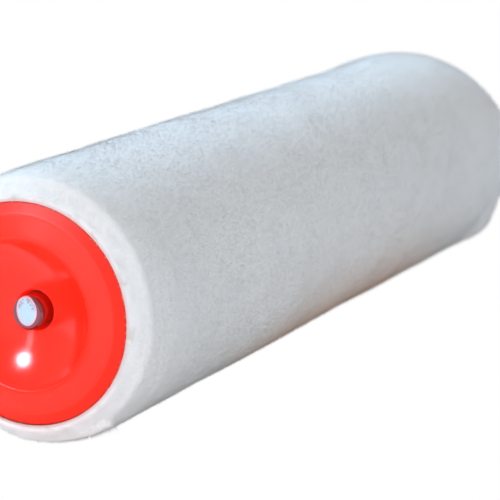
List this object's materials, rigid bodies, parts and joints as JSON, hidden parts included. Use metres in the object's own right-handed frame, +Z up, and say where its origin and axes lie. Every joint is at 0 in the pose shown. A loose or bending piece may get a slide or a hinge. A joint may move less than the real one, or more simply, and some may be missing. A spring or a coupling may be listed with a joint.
{
  "type": "paint roller",
  "caption": "Paint roller: plush sleeve on a tube core with dished end caps, turning on a bent wire frame with a handle and pole socket.",
  "frame": {"origin": "on the roller's axis of rotation, midway between its two end caps", "axes": "+X along the roller axis from the free end of the wire to the side where the wire leaves the head, -Y along the handle away from the roller, +Z up, at right angles to the plane of the bent wire"},
  "size_m": [0.2794, 0.3227, 0.0654],
  "materials": {
    "pile": "plush cut pile",
    "backing": "woven",
    "core": "matte",
    "red_plastic": "gloss",
    "bush_plastic": "matte",
    "zinc_wire": "zinc plated",
    "spring_steel": "bright",
    "ferrule_metal": "satin",
    "handle_plastic": "gloss",
    "grip_rubber": "soft matte",
    "tail_plastic": "matte"
  },
  "bodies": {
    "frame": {"frame_rod": "zinc_wire", "thrust_washers": "bush_plastic", "retaining_rings": "spring_steel", "neck_ferrule": "ferrule_metal", "handle_core": "handle_plastic", "soft_grip": "grip_rubber", "handle_tail": "tail_plastic"},
    "roller_head": {"core_tube": "core", "cover_backing": "backing", "pile_cover": "pile", "near_end_cap": "red_plastic", "far_end_cap": "red_plastic", "near_hub_bush": "bush_plastic", "far_hub_bush": "bush_plastic"}
  },
  "joints": [
    {"name": "roller_spin", "type": "hinge", "parent": "frame", "child": "roller_head", "pos_m": [0, 0, 0], "axis": [1, 0, 0], "continuous": true}
  ]
}
